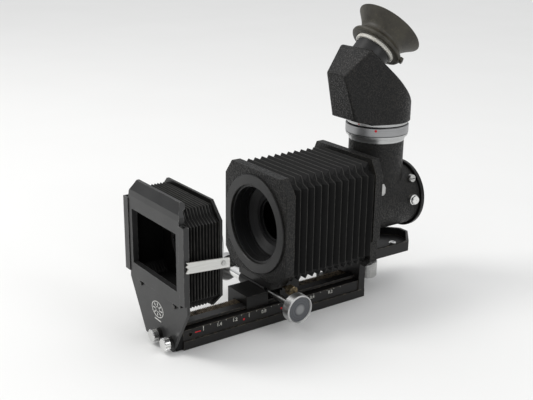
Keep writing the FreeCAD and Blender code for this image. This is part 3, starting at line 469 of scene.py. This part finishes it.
def cup_rubber():
    """Perished rubber: dark olive brown, greyed by handling, with a pitted skin."""
    material, tree, shader = new_material("eyecup_rubber", (0.03, 0.027, 0.02), 0.5, specular=0.45)
    grains = use_group(tree, FINE_GRAIN, Scale=1400.0)
    bloom = spread(tree, noise_field(tree, 55, detail=5, rough=0.6), 0.35, 0.7)
    base = blend_colours(tree, bloom, (0.024, 0.021, 0.015), (0.055, 0.05, 0.036))
    cracks = spread(tree, noise_field(tree, 480, detail=6, rough=0.75), 0.56, 0.72)
    link(tree, blend_colours(tree, cracks, base, (0.09, 0.075, 0.05)), shader.inputs["Base Color"])
    link(tree, spread(tree, bloom, 0, 1, 0.42, 0.58), shader.inputs["Roughness"])
    pits = sums(tree, "ADD", grains.outputs["Fine"], sums(tree, "MULTIPLY", cracks, 1.2))
    emboss(tree, shader, pits, 0.00007, 0.8)
    return material


def bellows_cloth():
    """Black leathercloth: pebbled, nearly matt, and rubbed a little paler on the folds' ridges."""
    material, tree, shader = new_material("bellows_cloth", (0.004, 0.004, 0.004), 0.6, specular=0.2)
    ridge = tree.nodes.new("ShaderNodeAttribute")
    ridge.attribute_name = "ridge"
    pebble = tree.nodes.new("ShaderNodeTexVoronoi")
    pebble.inputs["Scale"].default_value = 1500
    link(tree, object_place(tree), pebble.inputs["Vector"])
    rub = sums(tree, "MULTIPLY", spread(tree, ridge.outputs["Fac"], 0.9, 1.0),
               spread(tree, noise_field(tree, 240, detail=5), 0.25, 0.6, 0.35, 1.0))
    base = blend_colours(tree, noise_field(tree, 40, detail=4), (0.0025, 0.0025, 0.003),
                         (0.0065, 0.0065, 0.006))
    link(tree, blend_colours(tree, rub, base, (0.055, 0.054, 0.05)), shader.inputs["Base Color"])
    link(tree, spread(tree, rub, 0, 1, 0.66, 0.44), shader.inputs["Roughness"])
    emboss(tree, shader, pebble.outputs["Distance"], 0.00006, 0.6)
    return material


def hood_ring_metal():
    """Bright turned metal outside; its bore is blackened up to a radius of about 26 mm."""
    material, tree, shader, lathe = turned_metal("hood_chrome", (0.78, 0.78, 0.77), (0.6, 0.6, 0.6),
                                                 0.22, HOOD_AT, Y_AXIS, 2200.0)
    black = spread(tree, lathe.outputs["Radius"], *BORE_BLACKENED)
    old = shader.inputs["Base Color"].links[0].from_socket
    link(tree, blend_colours(tree, black, old, (0.006, 0.006, 0.006)), shader.inputs["Base Color"])
    return material


def knob_disc():
    """The knob's dished face: turned metal coloured dark blue-black as painted shade, standing for the
    shadow on the far knob's inner face, and paler towards the middle.
    """
    material, tree, shader, lathe = turned_metal("dark_disc", (0.15, 0.155, 0.165),
                                                 (0.07, 0.073, 0.08), 0.4, SHAFT_AT, X_AXIS, 1800.0,
                                                 metal=0.85)
    # paler inside these radii; the dark blue-black around it is painted shade
    worn = spread(tree, lathe.outputs["Radius"], *DISC_PALER_MIDDLE)
    old = shader.inputs["Base Color"].links[0].from_socket
    link(tree, blend_colours(tree, worn, old, (0.25, 0.255, 0.26)), shader.inputs["Base Color"])
    return material


def optic_glass(name, tint):
    """Clear coated glass with faint smears."""
    material, tree, shader = new_material(name, tint, 0.03)
    shader.inputs["Transmission Weight"].default_value = 0.9
    shader.inputs["IOR"].default_value = 1.52
    shader.inputs["Coat Weight"].default_value = 0.6
    smears = noise_field(tree, 90, detail=5, rough=0.7)
    link(tree, spread(tree, smears, 0.35, 0.75, 0.015, 0.09), shader.inputs["Roughness"])
    link(tree, blend_colours(tree, smears, tint, tuple(value * 0.93 for value in tint)),
         shader.inputs["Base Color"])
    emboss(tree, shader, smears, 0.000004, 0.3)
    return material


def marking_paint(name, colour, dirty):
    """Paint rubbed into an engraved mark."""
    material, tree, shader = new_material(name, colour, 0.5, specular=0.35)
    chips = spread(tree, noise_field(tree, 1500, detail=4), 0.5, 0.7)
    link(tree, blend_colours(tree, chips, colour, dirty), shader.inputs["Base Color"])
    link(tree, spread(tree, chips, 0, 1, 0.42, 0.66), shader.inputs["Roughness"])
    emboss(tree, shader, chips, 0.00002, 0.5)
    return material


def middle_of(node):
    """The centre of a node's box."""
    low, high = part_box(node)
    return tuple((a + b) / 2 for a, b in zip(low, high))


SHAFT_AT = (0, 0.0064, 0.024)
FINDER_AT = (0, 0.1307, 0.15)
OPTIC_AT = (0, 0, 0.0811)
HOOD_AT = (0, 0, 0.0799)
# Radii, in metres, over which each finish fades in towards the axis.
BORE_BLACKENED = (0.0264, 0.0261)
DISC_PALER_MIDDLE = (0.0052, 0.0028)
EYE_AT = (0, 0.1222, 0.2155)
X_AXIS, Y_AXIS, Z_AXIS = (1, 0, 0), (0, 1, 0), (0, 0, 1)
TAB_AT = 42  # degrees about the eyepiece's axis
EYE_AXIS = (0, math.sqrt(0.5), math.sqrt(0.5))


FINISHES = {
    "crinkle": crinkle_enamel("crinkle_black", 760.0, 0.0004),
    "satin black": black_enamel("satin_black", (0.003, 0.003, 0.003), (0.008, 0.0075, 0.007), 0.32,
                                specular=0.3),
    "ring black": black_enamel("ring_black", (0.006, 0.006, 0.006), (0.012, 0.012, 0.012), 0.36,
                               specular=0.4, amount=0.25),
    "hood grey": black_enamel("grey_black", (0.014, 0.014, 0.0142), (0.024, 0.0242, 0.0245), 0.36,
                              specular=0.42, worn=(0.3, 0.3, 0.29), amount=0.6, grain=1900.0),
    "bed black": black_enamel("bed_black", (0.0045, 0.0045, 0.005), (0.011, 0.010, 0.009), 0.38,
                              worn=(0.2, 0.17, 0.12), amount=0.75, width=0.0009),
    "matt black": black_enamel("matt_black", (0.003, 0.003, 0.003), (0.006, 0.006, 0.006), 0.62,
                               specular=0.2, amount=0.15, grain=1100.0),
    "recess black": turned_metal("recess_black", (0.011, 0.011, 0.012), (0.004, 0.004, 0.004), 0.42,
                                 OPTIC_AT, Y_AXIS, 900.0, 0.00006, metal=0.0, specular=0.4)[0],
    "rim aluminium": turned_metal("satin_aluminium", (0.66, 0.66, 0.65), (0.44, 0.44, 0.44), 0.34,
                                  SHAFT_AT, X_AXIS, edge=(0.92, 0.92, 0.91))[0],
    "knob aluminium": turned_metal("knob_aluminium", (0.7, 0.7, 0.69), (0.46, 0.46, 0.45), 0.32,
                                   middle_of("tray_knob"), Z_AXIS, edge=(0.92, 0.92, 0.9))[0],
    "chrome": polished_metal("chrome", (0.86, 0.86, 0.85), 0.1, 0.08),
    "screw chrome": polished_metal("screw_chrome", (0.84, 0.84, 0.83), 0.14, 0.1),
    "satin chrome": turned_metal("satin_chrome", (0.56, 0.57, 0.57), (0.4, 0.4, 0.4), 0.32,
                                 FINDER_AT, Z_AXIS, 2200.0, edge=(0.85, 0.85, 0.84))[0],
    "lock chrome": turned_metal("lock_chrome", (0.4, 0.405, 0.41), (0.28, 0.28, 0.285), 0.34,
                                FINDER_AT, Z_AXIS, 2200.0, edge=(0.8, 0.8, 0.79))[0],
    "hood chrome": hood_ring_metal(),
    "steel": turned_metal("steel", (0.56, 0.56, 0.55), (0.4, 0.4, 0.39), 0.3, SHAFT_AT, X_AXIS,
                          3000.0)[0],
    "strap": strap_metal(),
    "brass": worn_brass(),
    "rack": rack_metal(),
    "cream": cream_ring(),
    "rubber": cup_rubber(),
    "bellows": bellows_cloth(),
    "disc": knob_disc(),
    "tube black": turned_metal("tube_black", (0.013, 0.013, 0.013), (0.006, 0.006, 0.006), 0.4,
                               EYE_AT, EYE_AXIS, 1200.0, 0.00004, metal=0.0, specular=0.4)[0],
    "glass": optic_glass("lens_glass", (0.93, 0.96, 0.97)),
    "screen": optic_glass("ground_glass", (0.82, 0.84, 0.84)),
    "mirror": polished_metal("mirror_face", (0.9, 0.9, 0.9), 0.03, 0.05, 0.000002),
    "black screw": black_enamel("black_screw", (0.008, 0.008, 0.009), (0.02, 0.019, 0.018), 0.3,
                                specular=0.5, worn=(0.3, 0.28, 0.24), amount=0.9, width=0.0004),
    "red": marking_paint("red_paint", (0.62, 0.012, 0.02), (0.3, 0.01, 0.012)),
    "white": marking_paint("white_paint", (0.5, 0.5, 0.46), (0.22, 0.21, 0.19)),
    "emblem": marking_paint("emblem_silver", (0.66, 0.66, 0.64), (0.4, 0.4, 0.38)),
}

NODE_FINISH = {
    "crinkle": ["front_standard", "rear_standard", "mirror_housing", "finder_head"],
    "satin black": ["carriage", "bearing_tube", "camera_flange", "hood_rear_frame", "screw_collar_left",
                    "screw_collar_right"],
    "ring black": ["lens_ring"],
    "hood grey": ["hood_bracket", "hood_frame", "hood_guide_left", "hood_guide_right"],
    "bed black": ["bed", "track", "riser", "tray", "pedestal", "tray_knob_collar"],
    "matt black": ["bracket_spacer", "mirror_frame"],
    "recess black": ["lens_funnel", "lens_thread"],
    "rim aluminium": ["near_knob", "far_knob"],
    "chrome": ["far_hub", "release_button", "button_collar"],
    "screw chrome": ["thumbscrew_left", "thumbscrew_right", "tray_screw"],
    "satin chrome": ["finder_ring", "finder_seat"],
    "lock chrome": ["lock_ring"],
    "knob aluminium": ["tray_knob"],
    "hood chrome": ["hood_ring"],
    "steel": ["housing_catch", "pinion_shaft", "pinion", "mirror_axle_head", "strap_pivot"],
    "strap": ["strap"],
    "brass": ["lock_screw"],
    "rack": ["rack"],
    "cream": ["eyepiece_ring"],
    "rubber": ["eyecup"],
    "bellows": ["main_bellows", "hood_bellows"],
    "disc": ["near_knob_disc", "far_knob_disc"],
    "tube black": ["eyepiece_tube"],
    "glass": ["field_lens", "eyepiece_lens"],
    "screen": ["focusing_screen"],
    "mirror": ["mirror_glass"],
    "black screw": ["frame_screw_left", "frame_screw_right"],
}


def finish_nodes():
    """Give every CAD node its finish."""
    named = {node: FINISHES[finish] for finish, nodes in NODE_FINISH.items() for node in nodes}
    missing = sorted(set(NODES) - set(named))
    if missing:
        raise ValueError("no finish for " + ", ".join(missing))
    for node, material in named.items():
        thing = NODES[node]
        if thing.material_slots:
            for holder in thing.material_slots:
                holder.material = material
        else:
            thing.data.materials.append(material)


# ---- making pieces --------------------------------------------------------------------------

def add_piece(name, shape, finish, body=None, smooth=None):
    """Turn a bmesh into a finished piece that rides on a body; smooth is the crease angle."""
    mesh = bpy.data.meshes.new(name)
    if smooth is not None:
        limit = math.radians(smooth)
        for face in shape.faces:
            face.smooth = True
        for edge in shape.edges:
            if len(edge.link_faces) == 2 and edge.calc_face_angle(0) > limit:
                edge.smooth = False
    shape.to_mesh(mesh)
    shape.free()
    mesh.materials.append(FINISHES[finish])
    piece = bpy.data.objects.new(name, mesh)
    bpy.context.scene.collection.objects.link(piece)
    if body:
        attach(piece, body)
    return piece


def tidy_shape(shape):
    bmesh.ops.remove_doubles(shape, verts=shape.verts, dist=1e-7)
    bmesh.ops.recalc_face_normals(shape, faces=shape.faces)


def bevel_edges(shape, edges, width, segments=2):
    bmesh.ops.bevel(shape, geom=edges, offset=width, offset_type="OFFSET", segments=segments,
                    profile=0.5, affect="EDGES", material=-1)


def ring_of_points(shape, half, low, high, cut, sides, corners):
    """A closed octagon of edges across Y with its flats and cut corners divided."""
    marks = [(half - cut, low), (half, low + cut), (half, high - cut), (half - cut, high),
             (-half + cut, high), (-half, high - cut), (-half, low + cut), (-half + cut, low)]
    start = [shape.verts.new((across, 0, up)) for across, up in marks]
    for number, vertex in enumerate(start):
        shape.edges.new((vertex, start[(number + 1) % len(start)]))
    shape.edges.ensure_lookup_table()
    flats = [edge for number, edge in enumerate(shape.edges) if number % 2]
    slants = [edge for number, edge in enumerate(shape.edges) if number % 2 == 0]
    bmesh.ops.subdivide_edges(shape, edges=flats, cuts=sides, use_grid_fill=False)
    bmesh.ops.subdivide_edges(shape, edges=slants, cuts=corners, use_grid_fill=False)


def make_bellows(name, half, low, high, cut, front, back, folds, deep, node, sag):
    """A folded octagonal tube: its flats rise to ridges where its cut corners dip, and the
    other way about, as in a bellows that folds flat."""
    shape = bmesh.new()
    ring_of_points(shape, half * MM, low * MM, high * MM, cut * MM, 5, 1)
    ridge = shape.verts.layers.float.new("ridge")
    centre = (low + high) / 2 * MM
    corner = (half - cut / 2) * MM, ((high - low) / 2 - cut / 2) * MM
    steps = [(0.0, 0.0), (0.07, 0.1), (0.42, 0.9), (0.5, 1.0), (0.58, 0.9), (0.93, 0.1)]
    rows = [((fold + along) / folds, dip) for fold in range(folds) for along, dip in steps]
    rows.append((1.0, 0.0))

    def inward_from(place, depth):
        """Move a point in from the outline; a cut corner's middle goes the other way."""
        across, up = abs(place.x), abs(place.z - centre)
        if abs(across - corner[0]) < 0.2 * MM and abs(up - corner[1]) < 0.2 * MM:
            inward = Vector((-math.copysign(1, place.x), 0, -math.copysign(1, place.z - centre)))
            return inward.normalized() * (0.1 + 0.5 * (1 - depth)) * deep * MM
        inward = Vector((0, 0, 0))
        if across > half * MM - 0.1 * MM:
            inward.x = -math.copysign(depth * deep * MM, place.x)
        if up > (high - low) / 2 * MM - 0.1 * MM:
            inward.z = -math.copysign(depth * deep * MM, place.z - centre)
        return inward

    places = {vertex: vertex.co.copy() for vertex in shape.verts}
    for vertex, place in places.items():
        vertex[ridge] = 1.0
        vertex.co = Vector((place.x, front * MM, place.z)) + inward_from(place, 0)
    edges = list(shape.edges)
    for along, dip in rows[1:]:
        made = bmesh.ops.extrude_edge_only(shape, edges=edges)["geom"]
        fresh = {item for item in made if isinstance(item, bmesh.types.BMVert)}
        edges = [item for item in made if isinstance(item, bmesh.types.BMEdge)
                 and all(vertex in fresh for vertex in item.verts)]
        sources = {vertex: next(places[other] for edge in vertex.link_edges for other in edge.verts
                                if other in places) for vertex in fresh}
        for vertex, place in sources.items():
            places[vertex] = place
            wander = noise.noise(Vector((place.x * 60, along * folds * 1.3, place.z * 60)))
            drift = 0 if along >= 1 else wander * sag
            reach = front + (back - front) * along + drift
            vertex.co = Vector((place.x, reach * MM, place.z)) + inward_from(place, dip)
            vertex[ridge] = 1.0 - dip
    tidy_shape(shape)
    piece = add_piece(name, shape, "bellows", smooth=24)
    wall = piece.modifiers.new("wall", "SOLIDIFY")
    wall.thickness = 0.5 * MM
    wall.offset = -1
    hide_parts(node)
    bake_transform(piece)
    return piece


def spin_profile(shape, profile, steps=96):
    """Turn (along, radius) points in millimetres into a closed ring about Z."""
    points = [shape.verts.new((radius * MM, 0, along * MM)) for along, radius in profile]
    edges = [shape.edges.new((points[n], points[(n + 1) % len(points)])) for n in range(len(points))]
    bmesh.ops.spin(shape, geom=points + edges, cent=(0, 0, 0), axis=(0, 0, 1), dvec=(0, 0, 0),
                   angle=math.tau, steps=steps, use_merge=True, use_duplicate=False)
    tidy_shape(shape)


def smooth_profile(marks, per=4):
    """A closed smooth run through the marks, for soft mouldings."""
    count = len(marks)
    run = []
    for n in range(count):
        before, first, last, after = (marks[(n + k - 1) % count] for k in range(4))
        for step in range(per):
            t = step / per
            run.append(tuple(0.5 * (2 * first[k] + (last[k] - before[k]) * t
                                    + (2 * before[k] - 5 * first[k] + 4 * last[k] - after[k]) * t * t
                                    + (3 * first[k] - before[k] - 3 * last[k] + after[k]) * t ** 3)
                             for k in range(2)))
    return run


def make_eyecup():
    """A soft bell on a rough rolled collar, with a pull tab."""
    shape = bmesh.new()
    outer = [(2.3, 19.0), (2.3, 22.3), (3.1, 23.7), (4.5, 24.2), (6.0, 23.5), (7.2, 21.7), (9.5, 20.5),
             (12.5, 20.9), (16.5, 23.7), (20.5, 27.4), (23.4, 30.2), (24.1, 30.0), (24.0, 29.2),
             (21.2, 25.9), (17.0, 21.9), (12.5, 19.2), (9.0, 18.2), (5.3, 17.8), (3.2, 18.0)]
    spin_profile(shape, smooth_profile(outer), 128)
    for vertex in shape.verts:
        along = vertex.co.z / MM
        angle = math.atan2(vertex.co.y, vertex.co.x)
        collar = max(0.0, 1 - abs(along - 4.6) / 3.2)
        bell = max(0.0, (along - 12) / 12)
        rough = noise.noise(Vector((math.cos(angle) * 5, math.sin(angle) * 5, along * 0.5)))
        swing = noise.noise(Vector((math.cos(angle) * 1.2 + 7, math.sin(angle) * 1.2, 0.0)))
        out = Vector((math.cos(angle), math.sin(angle), 0))
        vertex.co += out * (rough * 0.35 * collar - abs(swing) * 0.5 * bell) * MM
    tilt = Matrix.Rotation(math.radians(-45), 4, "X")
    shape.transform(Matrix.Translation(EYE_AT) @ tilt)
    cup = add_piece("soft_eyecup", shape, "rubber", "eyepiece", smooth=50)
    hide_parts("eyecup")
    tab = bmesh.new()
    bmesh.ops.create_cube(tab, size=1.0)
    bmesh.ops.scale(tab, vec=(3.4 * MM, 7.0 * MM, 3.8 * MM), verts=tab.verts)
    bevel_edges(tab, list(tab.edges), 0.9 * MM, 3)
    bmesh.ops.translate(tab, vec=(24.6 * MM, 0, 4.9 * MM), verts=tab.verts)
    tab.transform(Matrix.Translation(EYE_AT) @ tilt @ Matrix.Rotation(math.radians(TAB_AT), 4, "Z"))
    add_piece("eyecup_tab", tab, "rubber", "eyepiece", smooth=50)


def make_dot(name, place, outward, radius, finish, body, high=0.12):
    """A low domed spot of paint on a surface."""
    shape = bmesh.new()
    bmesh.ops.create_circle(shape, cap_ends=True, cap_tris=False, segments=28, radius=radius * MM)
    face = list(shape.faces)[0]
    top = bmesh.ops.extrude_face_region(shape, geom=[face])["geom"]
    bmesh.ops.translate(shape, vec=(0, 0, (high + 0.3) * MM),
                        verts=[item for item in top if isinstance(item, bmesh.types.BMVert)])
    rim = [edge for edge in shape.edges if all(v.co.z > 0.1 * MM for v in edge.verts)]
    bevel_edges(shape, rim, 0.1 * MM, 3)
    bmesh.ops.translate(shape, vec=(0, 0, -0.3 * MM), verts=shape.verts)
    tidy_shape(shape)
    turn = Vector((0, 0, 1)).rotation_difference(Vector(outward)).to_matrix().to_4x4()
    shape.transform(Matrix.Translation(Vector(place) * MM) @ turn)
    return add_piece(name, shape, finish, body, smooth=40)


def make_bar(name, low, high, finish, body, soft=0.08):
    """A thin painted line or plate between two corners, its edges eased."""
    shape = bmesh.new()
    bmesh.ops.create_cube(shape, size=1.0)
    size = Vector(high) - Vector(low)
    bmesh.ops.scale(shape, vec=size * MM, verts=shape.verts)
    bevel_edges(shape, list(shape.edges), soft * MM, 2)
    bmesh.ops.translate(shape, vec=(Vector(low) + Vector(high)) / 2 * MM, verts=shape.verts)
    return add_piece(name, shape, finish, body, smooth=40)


def make_number(name, words, place, tall, body):
    """A painted number that reads from +X, made a mesh before it is placed."""
    letters = bpy.data.curves.new(name, "FONT")
    letters.body = words
    letters.size = tall * MM
    letters.extrude = 0.06 * MM
    letters.offset = 0.08 * MM
    letters.align_x = "CENTER"
    letters.resolution_u = 4
    holder = bpy.data.objects.new(name + "_letters", letters)
    bpy.context.scene.collection.objects.link(holder)
    bpy.context.view_layer.update()
    mesh = bpy.data.meshes.new_from_object(holder.evaluated_get(bpy.context.evaluated_depsgraph_get()))
    bpy.data.objects.remove(holder)
    mesh.name = name
    mesh.materials.clear()
    mesh.materials.append(FINISHES["white"])
    upright = Matrix(((0, 0, 1, 0), (1, 0, 0, 0), (0, 1, 0, 0), (0, 0, 0, 1)))
    mesh.transform(Matrix.Translation(Vector(place) * MM) @ upright)
    shape = bmesh.new()
    shape.from_mesh(mesh)
    tidy_shape(shape)
    shape.to_mesh(mesh)
    shape.free()
    piece = bpy.data.objects.new(name, mesh)
    bpy.context.scene.collection.objects.link(piece)
    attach(piece, body)
    return piece


def make_scale():
    """The magnification scale on the rail's side: numbers, ticks, dots and the zero marks."""
    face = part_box("track")[1][0] / MM
    marks = [("1.4", -49.7), ("1.2", -34.8), ("1", -21.0), ("0.8", -6.4), ("0.6", 26.0), ("0.4", 44.0),
             ("0.2", 64.0)]
    for number, (words, along) in enumerate(marks):
        make_number("scale_number_%d" % (number + 1), words, (face + 0.04, along, 12.2), 4.0, "base")
    for number in range(19):
        along = -58.0 + number * 7.4
        make_bar("scale_tick_%02d" % (number + 1), (face - 0.2, along - 0.2, 15.2),
                 (face + 0.08, along + 0.2, 16.2), "white", "base", 0.04)
    for number, along in enumerate((-26.1, 11.5)):
        make_dot("scale_red_dot_%d" % (number + 1), (face, along, 11.6), (1, 0, 0), 0.9, "red", "base")
    make_bar("scale_red_mark", (face - 0.2, -72.4, 12.2), (face + 0.08, -67.0, 13.0), "red",
             "base", 0.04)
    make_bar("scale_zero_line", (face - 0.2, -64.9, 12.2), (face + 0.08, -64.2, 16.2), "white",
             "base", 0.04)


def make_emblem():
    """A generic oval badge: a rim, a ring of small petals and a bar under it."""
    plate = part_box("hood_bracket")[0][1] / MM
    shape = bmesh.new()
    spun = [(-0.2, 9.4), (-0.2, 10.4), (0.22, 10.3), (0.22, 9.5)]
    spin_profile(shape, spun, 72)
    spin_profile(shape, [(-0.2, 3.0), (-0.2, 3.7), (0.2, 3.6), (0.2, 3.1)], 40)
    for number in range(8):
        angle = math.tau * number / 8
        petal = bmesh.ops.create_circle(shape, cap_ends=True, cap_tris=False, segments=12,
                                        radius=1.0 * MM)["verts"]
        bmesh.ops.scale(shape, vec=(2.0, 0.75, 1), verts=petal)
        bmesh.ops.translate(shape, vec=(6.5 * MM, 0, -0.2 * MM), verts=petal)
        bmesh.ops.rotate(shape, verts=petal, cent=(0, 0, 0),
                         matrix=Matrix.Rotation(angle, 3, "Z"))
        face = [item for item in petal[0].link_faces][0]
        top = bmesh.ops.extrude_face_region(shape, geom=[face])["geom"]
        bmesh.ops.translate(shape, vec=(0, 0, 0.4 * MM),
                            verts=[item for item in top if isinstance(item, bmesh.types.BMVert)])
    bmesh.ops.recalc_face_normals(shape, faces=shape.faces)
    bmesh.ops.scale(shape, vec=(1.0, 0.72, 1), verts=shape.verts)
    stand = Matrix.Rotation(math.radians(90), 4, "X")
    bmesh.ops.scale(shape, vec=(0.9, 0.9, 1), verts=shape.verts)
    shape.transform(Matrix.Translation(Vector((-0.8, plate, 27.6)) * MM) @ stand)
    badge = add_piece("oval_badge", shape, "emblem", "base", smooth=40)
    make_bar("badge_bar", (-5.8, plate - 0.2, 18.2), (4.4, plate + 0.1, 19.1), "emblem", "base", 0.06)


def make_details():
    make_bellows("main_bellows_folds", 41.4, 37.1, 127.4, 9, 8.8, 93.0, 12, 4.6, "main_bellows",
                 0.3)
    make_bellows("hood_bellows_folds", 44.7, 39.6, 119.4, 11, -89.0, -62.6, 10, 4.6, "hood_bellows",
                 0.12)
    make_eyecup()
    dots = [("lock_ring_dot", -44, 27.7, 149.2, 1.15, "ring_lock"),
            ("finder_ring_dot", -78, 26.7, 153.4, 0.7, "finder")]
    for name, angle, radius, height, size, body in dots:
        turn = math.radians(angle)
        out = Vector((math.cos(turn), math.sin(turn), 0))
        place = out * radius + Vector((0, FINDER_AT[1] / MM, height))
        make_dot(name, place, out, size, "red", body, 0.1)
    make_scale()
    make_emblem()


finish_nodes()
make_details()
make_camera()
make_floor()
make_sky()
make_lamps()
